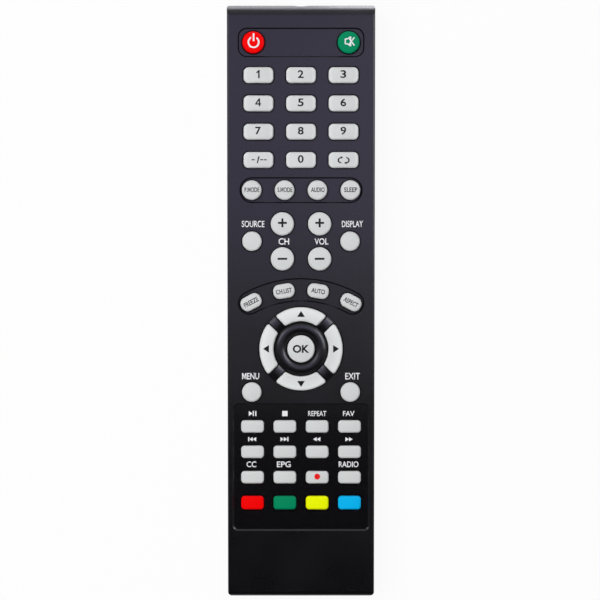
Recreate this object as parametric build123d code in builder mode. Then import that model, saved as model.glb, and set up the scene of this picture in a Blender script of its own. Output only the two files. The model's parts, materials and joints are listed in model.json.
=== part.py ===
"""A television remote control with a keypad of separate keys, lying on its back.

Millimetres. +X is to the right of someone who reads the keys, +Y points to the infrared end and +Z is up.
The origin is at the centre of the case's plan, on the surface that the back rests on. Heights are stacked
up from the battery door.
"""

import os
from dataclasses import dataclass

from build123d import *

os.makedirs("parts", exist_ok=True)

# Allowance for picking out edges and corners by their place
tolerance = 0.01

# Plan of the case
case_length = 200.0
front_width = 50.3
rear_width = 49.4
front_corner_radius = 1.0
rear_corner_radius = 1.5
inner_corner_radius = 0.4

# Walls and edges of the two halves of the case
wall = 1.8
face_thickness = 1.8
floor_thickness = 1.8
seam_height = 9.0
seam_step = 0.2
draft_angle = 8.0
face_edge_radius = 0.6
front_edge_radius = 3.5
rear_edge_radius = 1.5
back_edge_radius = 3.2
inner_end_radius = 1.2

# Lip of the lower half, and the beads of the upper half that click into its windows
lip_thickness = 1.1
lip_height = 3.0
lip_root = 3.0
lip_clearance = 0.15
bead_length = 6.0
bead_height = 0.8
bead_depth = 0.5
bead_rise = 1.2
bead_clearance = 0.2
bead_pitch = 60.0

# Battery cells, two of size AAA side by side
cell_diameter = 10.5
cell_length = 44.5
cell_nub_diameter = 3.8
cell_nub_height = 0.9
cell_edge_radius = 0.6
cell_pitch = 11.0
cell_clearance = 0.1
cell_headroom = 0.3

# Battery contacts
contact_thickness = 0.4
contact_width = 8.6
contact_margin = 1.2
dimple_diameter = 4.0
dimple_height = 0.8
tab_width = 3.0
slot_clearance = 0.15
spring_height = 2.4
spring_pitch = 0.8
spring_wire = 0.5
spring_base_radius = 3.0
spring_cone_angle = -15.0
spring_gap = 0.1

# Battery door and its rails
door_thickness = 1.7
door_half_width = 16.85
door_clearance = 0.15
door_overlap = 3.0
door_lip_depth = 3.1
door_lip_height = 5.5
rail_width = 1.2
rail_thickness = 0.65
ledge_thickness = 1.0
ledge_half_width = 20.0
catch_width = 12.0
catch_length = 2.0
grip_count = 6
grip_pitch = 2.0
grip_width = 1.0
grip_length = 16.0
grip_depth = 0.5
grip_from_door_front = 8.0

# Battery bay
bay_wall = 1.5
bay_roof = 1.2
cradle_thickness = 1.5
cradle_height = 3.0
cradle_pitch = 15.0

# Circuit board and keypad mat, stacked on the bay
board_standoff = 0.6
board_thickness = 1.6
board_edge_gap = 0.5
board_tail = 7.5
mat_thickness = 0.9
mat_tail = 7.0
collar_height = 0.5
collar_base_radius = 2.9
collar_wall = 0.45

# Keys
key_travel = 1.0
key_stop_gap = 0.1
key_proud = 1.3
key_edge_radius = 0.7
key_opening_gap = 0.42
key_crown_radius = 25.0
pad_crown_radius = 150.0
flange_width = 0.75
flange_thickness = 0.6
flange_gap = 0.1
plunger_radius = 1.6
plunger_clearance = 0.2

# Pins that locate the board between the two halves
pin_radius = 1.0
pin_shoulder_radius = 1.3
pin_socket_radius = 2.2
pin_clearance = 0.1
pin_reach = 1.1
pin_spare = 0.2
side_pin_inset = 3.8
side_pin_row = 90.5

# Plans of the keys: diameters, or width, height and corner radius
round_sizes = {
    "power": 7.5,
    "function": 6.65,
    "rocker": 7.9,
    "side": 6.6,
    "ok": 9.25,
}
block_sizes = {
    "number": (10.1, 5.4, 1.7),
    "oval": (7.3, 4.9, 2.2),
    "media": (7.7, 4.2, 1.2),
    "colour": (7.7, 4.6, 1.2),
}
arrow_inner_radius = 9.3
arrow_outer_radius = 14.1
arrow_spacing = 3.4
arrow_corner_radius = 0.8

# Places of the keys: distance behind the front end, and offset from the centre line
power_row = 12.7
power_offset = 16.15
number_row = 23.8
number_pitch_x = 14.4
number_pitch_y = 9.57
function_row = 62.7
function_pitch = 11.13
rocker_row = 74.1
rocker_pitch = 11.85
rocker_offset = 6.3
side_row = 80.0
side_offset = 16.6
oval_centre_row = 132.25
oval_radius = 35.85
oval_inner_angle = 9.3
oval_outer_angle = 28.1
pad_row = 116.4
menu_row = 131.0
menu_offset = 16.65
media_row = 142.65
media_pitch_x = 10.93
media_pitch_y = 8.59

# Recesses in the face: depths, drafts of their walls from upright, and widths at the face
recess_depth = 0.6
recess_draft = 35.0
media_recess_depth = 0.4
media_recess_draft = 55.0
power_recess = (42.9, 10.0, 3.1)
function_recess = (41.7, 8.75, 4.2)
oval_recess_width = 7.9
oval_recess_angle = 29.1
media_recess = (46.4, 43.2, 2.0)
media_recess_row = 156.4

# Navigation pad: a round groove, and in it a ring and a crowned rim that the arrow keys pierce
pad_groove_depth = 0.8
pad_groove_margin = 0.1
ring_rise = 0.9
rim_rise = 0.4
rim_edge_drop = 0.4

# Infrared LED, which looks out through a funnel in the front wall
led_radius = 2.5
led_length = 8.6
led_setback = 0.6
led_clearance = 0.1
led_notch_clearance = 0.3
led_funnel_width = 0.7
lead_width = 0.5
lead_length = 2.5
lead_spacing = 2.54

# Parts soldered under the board: distance behind the front end, and sizes
chip_size = (7.5, 13.0, 2.3)
chip_row = 60.0
chip_leg = (1.2, 0.4, 0.5)
chip_leg_count = 10
chip_leg_pitch = 1.27
resonator_size = (7.5, 3.5, 4.5)
resonator_row = 76.0
capacitor_diameter = 5.0
capacitor_height = 7.0
capacitor_row = 88.0
transistor_diameter = 4.6
transistor_height = 4.8
transistor_row = 20.0
resistor_size = (3.2, 1.6, 0.6)
resistor_row = 38.0
resistor_pitch = 5.0
resistor_count = 4
part_offset = 9.0

# Heights, from the back upwards
cell_axis_height = door_thickness + cell_clearance + cell_diameter / 2
roof_bottom = cell_axis_height + cell_diameter / 2 + cell_headroom
roof_top = roof_bottom + bay_roof
board_bottom = roof_top + board_standoff
board_top = board_bottom + board_thickness
mat_top = board_top + mat_thickness
collar_top = mat_top + collar_height
flange_bottom = collar_top + key_travel + key_stop_gap
flange_top = flange_bottom + flange_thickness
face_underside = flange_top + flange_gap
face_top = face_underside + face_thickness
key_top = face_top + key_proud
plunger_bottom = board_top + key_travel + key_stop_gap
bead_bottom = seam_height + bead_rise
pin_tip = board_bottom - pin_reach

# Places along the case
front_y = case_length / 2
rear_y = -case_length / 2
pad_y = front_y - pad_row
oval_centre_y = front_y - oval_centre_row
media_last_y = front_y - media_row - 3 * media_pitch_y
board_rear_y = media_last_y - board_tail
mat_rear_y = media_last_y - mat_tail
led_tip_y = front_y - led_setback
led_rear_y = led_tip_y - led_length
past_end_y = rear_y - door_overlap
door_lip_y = rear_y + door_lip_depth
bay_back_y = door_lip_y + door_clearance
bay_rear_y = bay_back_y + bay_wall
bay_length = cell_length + dimple_height + 2 * contact_thickness + spring_height + 2 * spring_gap
bay_front_y = bay_rear_y + bay_length
bay_nose_y = bay_front_y + bay_wall
door_front_y = bay_nose_y + door_overlap
bay_middle_y = (bay_rear_y + bay_front_y) / 2
lip_inset = wall + lip_clearance
bay_half_width = cell_pitch / 2 + cell_diameter / 2 + cell_headroom
ledge_bottom = door_thickness + door_clearance
ledge_top = ledge_bottom + ledge_thickness
rail_bottom = door_thickness - rail_thickness


def half_width(y):
    """Half of the case's width at a place along it."""
    share = (y - rear_y) / case_length
    return (rear_width + (front_width - rear_width) * share) / 2


def case_plan(inset=0.0, rounded=True):
    """The tapered plan of the case, drawn that far inside its outer edge."""
    front = (half_width(front_y - inset) - inset, front_y - inset)
    rear = (half_width(rear_y + inset) - inset, rear_y + inset)
    with BuildSketch() as plan:
        with BuildLine():
            Polyline(front, rear, (-rear[0], rear[1]), (-front[0], front[1]), close=True)
        make_face()
        if rounded:
            for end, radius in ((-1, front_corner_radius), (0, rear_corner_radius)):
                fillet(plan.vertices().group_by(Axis.Y)[end], max(radius - inset, inner_corner_radius))
    return plan.sketch


def lid_form(inset, top, side_radius, front_radius, rear_radius):
    """The upper half as a solid above the seam: its long edges are rounded, then its ends and corners."""
    with BuildPart() as form:
        with BuildSketch(Plane.XY.offset(seam_height)):
            add(case_plan(inset, rounded=False))
        extrude(amount=top - seam_height)
        if side_radius:
            fillet(form.edges().group_by(Axis.Z)[-1].sort_by(SortBy.LENGTH)[-2:], side_radius)
        with BuildSketch(Plane.YZ) as profile:
            with Locations((0, (seam_height + top) / 2)):
                Rectangle(case_length - 2 * inset, top - seam_height)
            for place, radius in ((0, rear_radius), (-1, front_radius)):
                fillet(profile.vertices().group_by(Axis.X)[place].sort_by(Axis.Y)[-1], radius)
        extrude(amount=front_width, both=True, mode=Mode.INTERSECT)
        with BuildSketch(Plane.XY.offset(seam_height)):
            add(case_plan(inset))
        extrude(amount=top - seam_height, mode=Mode.INTERSECT)
    return form.part


def tub_form(inset, bottom, radius):
    """The lower half as a solid below the seam, with drafted sides and round edges and corners."""
    with BuildPart() as form:
        with BuildSketch(Plane.XY.offset(seam_height)):
            add(case_plan(inset, rounded=False))
        extrude(amount=bottom - seam_height, taper=draft_angle)
        fillet(form.edges().filter_by_position(Axis.Z, bottom - tolerance, seam_height - tolerance), radius)
    return form.part


@dataclass
class Key:
    """One key: its plan's name, its place and its turn in degrees about that place."""

    name: str
    shape: str
    x: float
    y: float
    turn: float = 0.0


def arrow_plan(grow=0.0):
    """Plan of the upper arrow key about the middle of the pad, made larger all round by grow."""
    apex = (arrow_spacing / 2 - grow) * 2**0.5
    reach = 2 * arrow_outer_radius
    with BuildSketch() as plan:
        Circle(arrow_outer_radius + grow)
        Circle(arrow_inner_radius - grow, mode=Mode.SUBTRACT)
        with BuildLine():
            Polyline((0, apex), (reach, apex + reach), (-reach, apex + reach), close=True)
        make_face(mode=Mode.INTERSECT)
        fillet(plan.vertices(), arrow_corner_radius + grow)
    return plan.sketch


def key_plan(key, grow=0.0):
    """Plan of a key at its place, made larger all round by grow."""
    arrow = arrow_plan(grow) if key.shape == "arrow" else None
    with BuildSketch() as plan:
        with Locations(Location((key.x, key.y, 0), (0, 0, key.turn))):
            if key.shape in round_sizes:
                Circle(round_sizes[key.shape] / 2 + grow)
            elif key.shape in block_sizes:
                width, height, corner = block_sizes[key.shape]
                RectangleRounded(width + 2 * grow, height + 2 * grow, corner + grow)
            else:
                add(arrow)
    return plan.sketch


def plunger_point(key):
    """Where the key's plunger stands: in its middle, or on the middle of an arrow key's arc."""
    if key.shape != "arrow":
        return Vector(key.x, key.y)
    arm = Vector(0, (arrow_inner_radius + arrow_outer_radius) / 2).rotate(Axis.Z, key.turn)
    return Vector(key.x, key.y) + arm


def list_keys():
    """Every key of the pad, from the front to the rear."""
    keys = [
        Key("key_power", "power", -power_offset, front_y - power_row),
        Key("key_mute", "power", power_offset, front_y - power_row),
    ]
    number_names = ["1", "2", "3", "4", "5", "6", "7", "8", "9", "dash", "0", "recall"]
    for i, name in enumerate(number_names):
        row, column = divmod(i, 3)
        x = (column - 1) * number_pitch_x
        y = front_y - number_row - row * number_pitch_y
        keys.append(Key(f"key_{name}", "number", x, y))
    for i, name in enumerate(["picture_mode", "sound_mode", "audio", "sleep"]):
        keys.append(Key(f"key_{name}", "function", (i - 1.5) * function_pitch, front_y - function_row))
    for x, name in ((-rocker_offset, "channel"), (rocker_offset, "volume")):
        keys.append(Key(f"key_{name}_up", "rocker", x, front_y - rocker_row))
        keys.append(Key(f"key_{name}_down", "rocker", x, front_y - rocker_row - rocker_pitch))
    keys.append(Key("key_source", "side", -side_offset, front_y - side_row))
    keys.append(Key("key_display", "side", side_offset, front_y - side_row))
    oval_turns = [oval_outer_angle, oval_inner_angle, -oval_inner_angle, -oval_outer_angle]
    for turn, name in zip(oval_turns, ["freeze", "channel_list", "auto", "aspect"]):
        place = Vector(0, oval_centre_y) + Vector(0, oval_radius).rotate(Axis.Z, turn)
        keys.append(Key(f"key_{name}", "oval", place.X, place.Y, turn))
    keys.append(Key("key_ok", "ok", 0, pad_y))
    for i, name in enumerate(["up", "left", "down", "right"]):
        keys.append(Key(f"key_{name}", "arrow", 0, pad_y, 90.0 * i))
    keys.append(Key("key_menu", "side", -menu_offset, front_y - menu_row))
    keys.append(Key("key_exit", "side", menu_offset, front_y - menu_row))
    media_names = ["play", "stop", "repeat", "favourite", "previous", "next", "rewind", "forward"]
    media_names += ["captions", "guide", "record", "radio", "red", "green", "yellow", "blue"]
    for i, name in enumerate(media_names):
        row, column = divmod(i, 4)
        x = (column - 1.5) * media_pitch_x
        y = front_y - media_row - row * media_pitch_y
        keys.append(Key(f"key_{name}", "colour" if row == 3 else "media", x, y))
    return keys


def list_pins():
    """Places of the locating pins, left and right of the centre line, in gaps between the keys."""
    wide = half_width(pad_y) - wall - side_pin_inset
    pins = [
        (number_pitch_x / 2, front_y - number_row - number_pitch_y / 2),
        (number_pitch_x / 2, front_y - number_row - 2.5 * number_pitch_y),
        (wide, front_y - side_pin_row),
        (wide, pad_y),
        (media_pitch_x, front_y - media_row - media_pitch_y / 2),
        (media_pitch_x, front_y - media_row - 2.5 * media_pitch_y),
    ]
    return [(side * x, y) for x, y in pins for side in (-1, 1)]


all_keys = list_keys()
pin_points = list_pins()
bead_rows = [-bead_pitch, 0, bead_pitch]


def make_upper_case():
    """Black shell with the openings, recesses, the pad's ring and rim, the LED's funnel, pins and beads."""
    with BuildPart() as upper:
        add(lid_form(0, face_top, face_edge_radius, front_edge_radius, rear_edge_radius))
        add(lid_form(wall, face_underside, 0, inner_end_radius, inner_end_radius), mode=Mode.SUBTRACT)
        # hole for the LED, and its funnel in the front end
        with BuildSketch(Plane.XZ.offset(-led_rear_y)):
            with Locations((0, board_top)):
                Circle(led_radius + led_clearance)
        extrude(amount=led_rear_y - front_y, mode=Mode.SUBTRACT)
        with BuildSketch(Plane.XZ.offset(-front_y)):
            with Locations((0, board_top)):
                Circle(led_radius + led_clearance + led_funnel_width)
        extrude(amount=led_funnel_width, taper=45, mode=Mode.SUBTRACT)
        # shallow recesses in the face, with drafted walls
        with BuildSketch(Plane.XY.offset(face_top)):
            with Locations((0, front_y - power_row)):
                RectangleRounded(*power_recess)
            with Locations((0, front_y - function_row)):
                RectangleRounded(*function_recess)
            with BuildLine(mode=Mode.PRIVATE) as band:
                CenterArc(
                    (0, oval_centre_y), oval_radius, 90 - oval_recess_angle, 2 * oval_recess_angle
                )
            SlotArc(band.edge(), oval_recess_width)
        extrude(amount=-recess_depth, taper=recess_draft, mode=Mode.SUBTRACT)
        with BuildSketch(Plane.XY.offset(face_top)):
            with Locations((0, front_y - media_recess_row)):
                RectangleRounded(*media_recess)
        extrude(amount=-media_recess_depth, taper=media_recess_draft, mode=Mode.SUBTRACT)
        # the pad's groove, the ring round the middle key and the crowned rim
        ring_inner = round_sizes["ok"] / 2 + key_opening_gap
        ring_outer = arrow_inner_radius - key_opening_gap
        with BuildSketch(Plane.XY.offset(face_top - pad_groove_depth)):
            with Locations((0, pad_y)):
                Circle(arrow_outer_radius + key_opening_gap + pad_groove_margin)
        extrude(amount=pad_groove_depth, mode=Mode.SUBTRACT)
        with BuildSketch(Plane.XZ.offset(-pad_y)):
            with BuildLine():
                ThreePointArc(
                    (ring_inner, face_top),
                    ((ring_inner + ring_outer) / 2, face_top + ring_rise),
                    (ring_outer, face_top),
                )
                Line((ring_outer, face_top), (ring_outer, face_top - rim_edge_drop))
                ThreePointArc(
                    (ring_outer, face_top - rim_edge_drop),
                    ((ring_outer + arrow_outer_radius) / 2, face_top + rim_rise),
                    (arrow_outer_radius, face_top - rim_edge_drop),
                )
                Polyline(
                    (arrow_outer_radius, face_top - rim_edge_drop),
                    (arrow_outer_radius, face_underside),
                    (ring_inner, face_underside),
                    (ring_inner, face_top),
                )
            make_face()
        revolve(axis=Axis((0, pad_y, 0), (0, 0, 1)))
        # openings for the keys, higher than the pad's ring
        with BuildSketch(Plane.XY.offset(face_underside)):
            for key in all_keys:
                add(key_plan(key, key_opening_gap))
        extrude(amount=face_thickness + ring_rise, mode=Mode.SUBTRACT)
        # pins that pass through mat and board
        with BuildSketch(Plane.XY.offset(mat_top)):
            with Locations(*pin_points):
                Circle(pin_shoulder_radius)
        extrude(amount=face_underside - mat_top)
        with BuildSketch(Plane.XY.offset(pin_tip)):
            with Locations(*pin_points):
                Circle(pin_radius)
        extrude(amount=mat_top - pin_tip)
        # beads inside the long walls
        with BuildSketch(Plane.XY.offset(bead_bottom)):
            for y in bead_rows:
                inside = half_width(y) - wall - bead_depth
                for side in (-1, 1):
                    with Locations((side * (inside + (bead_depth + wall / 2) / 2), y)):
                        Rectangle(bead_depth + wall / 2, bead_length)
        extrude(amount=bead_height)
    upper.part.label = "upper_case"
    return upper.part


def make_lower_case():
    """Black tub with a lip, the battery bay, the door's opening and rails, and sockets for the pins."""
    outer = tub_form(seam_step, 0, back_edge_radius)
    inner = tub_form(seam_step + wall, floor_thickness, back_edge_radius - wall)
    ledge_front_y = door_front_y + door_overlap
    with BuildPart() as lower:
        add(outer)
        add(inner, mode=Mode.SUBTRACT)
        # lip that stands up inside the upper half
        with BuildSketch(Plane.XY.offset(seam_height - lip_root)):
            add(case_plan(lip_inset))
            add(case_plan(lip_inset + lip_thickness), mode=Mode.SUBTRACT)
        extrude(amount=lip_root + lip_height)
        # windows in the lip for the beads
        with BuildSketch(Plane.XY.offset(bead_bottom - bead_clearance)):
            for y in bead_rows:
                middle = half_width(y) - lip_inset - lip_thickness / 2
                with Locations((-middle, y), (middle, y)):
                    Rectangle(2 * lip_thickness, bead_length + 2 * bead_clearance)
        extrude(amount=bead_height + 2 * bead_clearance, mode=Mode.SUBTRACT)
        # ledge over the door, bay and sockets, all standing on the floor
        with BuildSketch(Plane.XY.offset(floor_thickness)):
            with Locations((0, (bay_back_y + ledge_front_y) / 2)):
                Rectangle(2 * ledge_half_width, ledge_front_y - bay_back_y)
        extrude(amount=ledge_top - floor_thickness)
        with BuildSketch(Plane.XY.offset(floor_thickness)):
            with Locations(*pin_points):
                Circle(pin_socket_radius)
        extrude(amount=board_bottom - floor_thickness)
        with BuildSketch(Plane.XY.offset(floor_thickness)):
            with Locations((0, (bay_back_y + bay_nose_y) / 2)):
                Rectangle(2 * (bay_half_width + bay_wall), bay_nose_y - bay_back_y)
        extrude(amount=roof_top - floor_thickness)
        # hollow of the bay, and cradles over the cells
        with BuildSketch():
            with Locations((0, bay_middle_y)):
                Rectangle(2 * bay_half_width, bay_length)
        extrude(amount=roof_bottom, mode=Mode.SUBTRACT)
        for step in (-1, 0, 1):
            y = bay_middle_y + step * cradle_pitch - cradle_thickness / 2
            with BuildSketch(Plane.XZ.offset(-y)):
                with Locations((0, roof_bottom - cradle_height / 2)):
                    Rectangle(2 * bay_half_width, cradle_height)
                with Locations((-cell_pitch / 2, cell_axis_height), (cell_pitch / 2, cell_axis_height)):
                    Circle(cell_diameter / 2 + cell_clearance, mode=Mode.SUBTRACT)
            extrude(amount=-cradle_thickness)
        # slots for the contacts' tabs, and holes for the pins
        with BuildSketch(Plane.XY.offset(roof_bottom)):
            add(tab_slots())
        extrude(amount=bay_roof, mode=Mode.SUBTRACT)
        with BuildSketch(Plane.XY.offset(pin_tip - pin_spare)):
            with Locations(*pin_points):
                Circle(pin_radius + pin_clearance)
        extrude(amount=board_bottom - pin_tip + pin_spare, mode=Mode.SUBTRACT)
        # opening of the door through the back and the lower end, with grooves for its rails and catch
        with BuildSketch():
            add(door_plan(door_clearance))
        extrude(amount=ledge_bottom, mode=Mode.SUBTRACT)
        with BuildSketch():
            add(door_lip_plan(door_clearance))
        extrude(amount=door_lip_height + door_clearance, mode=Mode.SUBTRACT)
        with BuildSketch(Plane.XY.offset(rail_bottom - door_clearance)):
            add(rail_plan(door_clearance, past_end_y))
        extrude(amount=ledge_bottom - rail_bottom + door_clearance, mode=Mode.SUBTRACT)
    lower.part.label = "lower_case"
    return lower.part


def tab_slots():
    """Plan of the slots that the front contacts' tabs pass through."""
    with BuildSketch() as slots:
        tab_y = bay_front_y - contact_thickness / 2
        with Locations((-cell_pitch / 2, tab_y), (cell_pitch / 2, tab_y)):
            Rectangle(tab_width + 2 * slot_clearance, contact_thickness + 2 * slot_clearance)
    return slots.sketch


def door_plan(grow=0.0):
    """Plan of the door's plate, running out past the lower end."""
    front = door_front_y + grow
    with BuildSketch() as plan:
        with Locations((0, (front + past_end_y) / 2)):
            Rectangle(2 * (door_half_width + grow), front - past_end_y)
    return plan.sketch


def door_lip_plan(grow=0.0):
    """Plan of the part of the door that turns up over the lower end."""
    front = door_lip_y + grow
    with BuildSketch() as plan:
        with Locations((0, (front + past_end_y) / 2)):
            Rectangle(2 * (door_half_width + grow), front - past_end_y)
    return plan.sketch


def rail_plan(grow, back):
    """Plan of the door's two side rails and its front catch, from the place called back."""
    front = door_front_y + grow
    reach = door_front_y + catch_length + grow
    with BuildSketch() as plan:
        with Locations((0, (front + back) / 2)):
            Rectangle(2 * (door_half_width + rail_width + grow), front - back)
        with Locations((0, (reach + back) / 2)):
            Rectangle(catch_width + 2 * grow, reach - back)
    return plan.sketch


def make_battery_door():
    """Cover on rails whose outside is the tub's own, with a lip over the lower end and thumb grooves."""
    outer = tub_form(seam_step, 0, back_edge_radius)
    with BuildPart() as door:
        with BuildSketch():
            add(door_plan())
        extrude(amount=door_thickness)
        with BuildSketch():
            add(door_lip_plan())
        extrude(amount=door_lip_height)
        add(outer, mode=Mode.INTERSECT)
        with BuildSketch(Plane.XY.offset(rail_bottom)):
            add(rail_plan(0, door_lip_y))
        extrude(amount=rail_thickness)
        grip_y = door_front_y - grip_from_door_front
        with BuildSketch():
            with Locations((0, grip_y - (grip_count - 1) * grip_pitch / 2)):
                with GridLocations(0, grip_pitch, 1, grip_count):
                    SlotOverall(grip_length, grip_width)
        extrude(amount=grip_depth, mode=Mode.SUBTRACT)
    door.part.label = "battery_door"
    return door.part


def sheet_plan(inset, tail_y, notch_half_width, notch_y):
    """Plan of the board or the mat: the case's plan cut off at the tail and notched for the LED."""
    with BuildSketch() as plan:
        add(case_plan(inset))
        with Locations((0, (tail_y + front_y) / 2)):
            Rectangle(front_width, front_y - tail_y, mode=Mode.INTERSECT)
        with Locations((0, (notch_y + front_y) / 2)):
            Rectangle(2 * notch_half_width, front_y - notch_y, mode=Mode.SUBTRACT)
    return plan.sketch


def make_circuit_board():
    """Board with holes for the pins, slots for the contacts' tabs and a notch for the LED."""
    inset = wall + board_edge_gap
    notch = led_radius + led_notch_clearance
    with BuildPart() as board:
        with BuildSketch(Plane.XY.offset(board_bottom)):
            add(sheet_plan(inset, board_rear_y, notch, led_rear_y - led_notch_clearance))
            add(tab_slots(), mode=Mode.SUBTRACT)
            with Locations(*pin_points):
                Circle(pin_radius + pin_clearance, mode=Mode.SUBTRACT)
        extrude(amount=board_thickness)
    board.part.label = "circuit_board"
    return board.part


def make_keypad_mat():
    """Silicone sheet on the board, with a thin conical collar round each plunger."""
    inset = wall + 2 * board_edge_gap
    notch = led_radius + 2 * led_notch_clearance
    plungers = [plunger_point(key) for key in all_keys]
    collar_top_radius = plunger_radius + plunger_clearance + collar_wall
    with BuildPart() as mat:
        with BuildSketch(Plane.XY.offset(board_top)):
            add(sheet_plan(inset, mat_rear_y, notch, led_rear_y - lead_length - led_notch_clearance))
            with Locations(*pin_points):
                Circle(pin_radius + pin_clearance, mode=Mode.SUBTRACT)
        extrude(amount=mat_thickness)
        with Locations(*[(p.X, p.Y, mat_top) for p in plungers]):
            Cone(
                collar_base_radius,
                collar_top_radius,
                collar_height,
                align=(Align.CENTER, Align.CENTER, Align.MIN),
            )
        with BuildSketch(Plane.XY.offset(board_top)):
            with Locations(*plungers):
                Circle(plunger_radius + plunger_clearance)
        extrude(amount=collar_top - board_top, mode=Mode.SUBTRACT)
    mat.part.label = "keypad_mat"
    return mat.part


def make_board_parts():
    """Parts soldered under the board, each a solid of its own."""
    with BuildPart() as parts:
        chip_width, chip_length, chip_height = chip_size
        leg_length, leg_width, leg_height = chip_leg
        leg_x = chip_width / 2 + leg_length / 2
        with BuildSketch(Plane.XY.offset(board_bottom - chip_height)):
            with Locations((0, front_y - chip_row)):
                Rectangle(chip_width, chip_length)
        extrude(amount=chip_height)
        with BuildSketch(Plane.XY.offset(board_bottom - leg_height)):
            with Locations((0, front_y - chip_row)):
                with GridLocations(2 * leg_x, chip_leg_pitch, 2, chip_leg_count):
                    Rectangle(leg_length, leg_width)
        extrude(amount=leg_height)
        resonator_length, resonator_width, resonator_height = resonator_size
        with BuildSketch(Plane.XY.offset(board_bottom - resonator_height)):
            with Locations((part_offset, front_y - resonator_row)):
                SlotOverall(resonator_length, resonator_width)
        extrude(amount=resonator_height)
        with BuildSketch(Plane.XY.offset(board_bottom - capacitor_height)):
            with Locations((-part_offset, front_y - capacitor_row)):
                Circle(capacitor_diameter / 2)
        extrude(amount=capacitor_height)
        with BuildSketch(Plane.XY.offset(board_bottom - transistor_height)):
            with Locations((part_offset, front_y - transistor_row)):
                Circle(transistor_diameter / 2)
                with Locations((0, -transistor_diameter / 2)):
                    Rectangle(transistor_diameter, transistor_diameter / 2, mode=Mode.SUBTRACT)
        extrude(amount=transistor_height)
        resistor_length, resistor_width, resistor_height = resistor_size
        with BuildSketch(Plane.XY.offset(board_bottom - resistor_height)):
            with Locations((0, front_y - resistor_row)):
                with GridLocations(resistor_pitch, 0, resistor_count, 1):
                    Rectangle(resistor_length, resistor_width)
        extrude(amount=resistor_height)
    parts.part.label = "board_parts"
    return parts.part


def make_infrared_led():
    """Clear LED in the board's notch: its dome is in the front wall and its leads lie on the board."""
    shoulder_y = led_tip_y - led_radius
    with BuildPart() as led:
        with BuildSketch(Plane.XY.offset(board_top)):
            with BuildLine():
                Polyline(
                    (0, led_tip_y),
                    (0, led_rear_y),
                    (led_radius, led_rear_y),
                    (led_radius, shoulder_y),
                )
                RadiusArc((led_radius, shoulder_y), (0, led_tip_y), -led_radius)
            make_face()
        revolve(axis=Axis((0, 0, board_top), (0, 1, 0)))
        with BuildSketch(Plane.XY.offset(board_top)):
            with Locations((0, led_rear_y - lead_length / 2)):
                with GridLocations(lead_spacing, 0, 2, 1):
                    Rectangle(lead_width, lead_length)
        extrude(amount=lead_width)
    led.part.label = "infrared_led"
    return led.part


def contact_plate_plan(x, width):
    """Front view of a contact plate that stands against an end wall of the bay."""
    low = cell_axis_height - cell_diameter / 2 + contact_margin
    high = roof_bottom - contact_margin
    with BuildSketch() as plan:
        with Locations((x, (low + high) / 2)):
            RectangleRounded(width, high - low, contact_margin)
    return plan.sketch


def make_battery_contacts():
    """Two front contacts with tabs up to the board, and one that links the cells at the rear."""
    x = cell_pitch / 2
    tab_y = bay_front_y - contact_thickness / 2
    tab_foot = roof_bottom - contact_margin - contact_thickness
    plates = [
        (-x, contact_width, bay_front_y, -1),
        (x, contact_width, bay_front_y, -1),
        (0, cell_pitch + contact_width, bay_rear_y, 1),
    ]
    with BuildPart() as contacts:
        for place, width, wall_y, inward in plates:
            with BuildSketch(Plane.XZ.offset(-wall_y)):
                add(contact_plate_plan(place, width))
            extrude(amount=-inward * contact_thickness)
        with BuildSketch(Plane.XY.offset(tab_foot)):
            with Locations((-x, tab_y), (x, tab_y)):
                Rectangle(tab_width, contact_thickness)
        extrude(amount=board_top - slot_clearance - tab_foot)
        # spots that touch the cells' nubs
        for place, wall_y, inward in ((-x, bay_front_y, -1), (x, bay_rear_y, 1)):
            with BuildSketch(Plane.XZ.offset(-wall_y - inward * contact_thickness)):
                with Locations((place, cell_axis_height)):
                    Circle(dimple_diameter / 2)
            extrude(amount=-inward * dimple_height)
        # conical coils that grow out of the plates
        for place, wall_y, inward in ((x, bay_front_y, -1), (-x, bay_rear_y, 1)):
            with BuildLine() as path:
                Helix(
                    spring_pitch,
                    spring_height - spring_wire / 2,
                    spring_base_radius,
                    center=(place, wall_y + inward * contact_thickness, cell_axis_height),
                    direction=(0, inward, 0),
                    cone_angle=spring_cone_angle,
                )
            with BuildSketch(Plane(origin=path.line @ 0, z_dir=path.line % 0)):
                Circle(spring_wire / 2)
            sweep(path=path.line)
    contacts.part.label = "battery_contacts"
    return contacts.part


def make_battery_cells():
    """Two cells that lie head to tail, each touching a dimple with its nub."""
    contact_depth = contact_thickness + dimple_height + spring_gap
    body_length = cell_length - cell_nub_height
    with BuildPart() as cells:
        for x, nub_y, towards in (
            (-cell_pitch / 2, bay_front_y - contact_depth, 1),
            (cell_pitch / 2, bay_rear_y + contact_depth, -1),
        ):
            body_y = nub_y - towards * (cell_nub_height + body_length / 2)
            with BuildSketch(Plane.XY.offset(cell_axis_height)) as profile:
                with Locations((x + cell_diameter / 4, body_y)):
                    Rectangle(cell_diameter / 2, body_length)
                fillet(profile.vertices().group_by(Axis.X)[-1], cell_edge_radius)
                with Locations((x + cell_nub_diameter / 4, nub_y - towards * cell_nub_height / 2)):
                    Rectangle(cell_nub_diameter / 2, cell_nub_height)
            revolve(axis=Axis((x, 0, cell_axis_height), (0, 1, 0)))
    cells.part.label = "battery_cells"
    return cells.part


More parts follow.
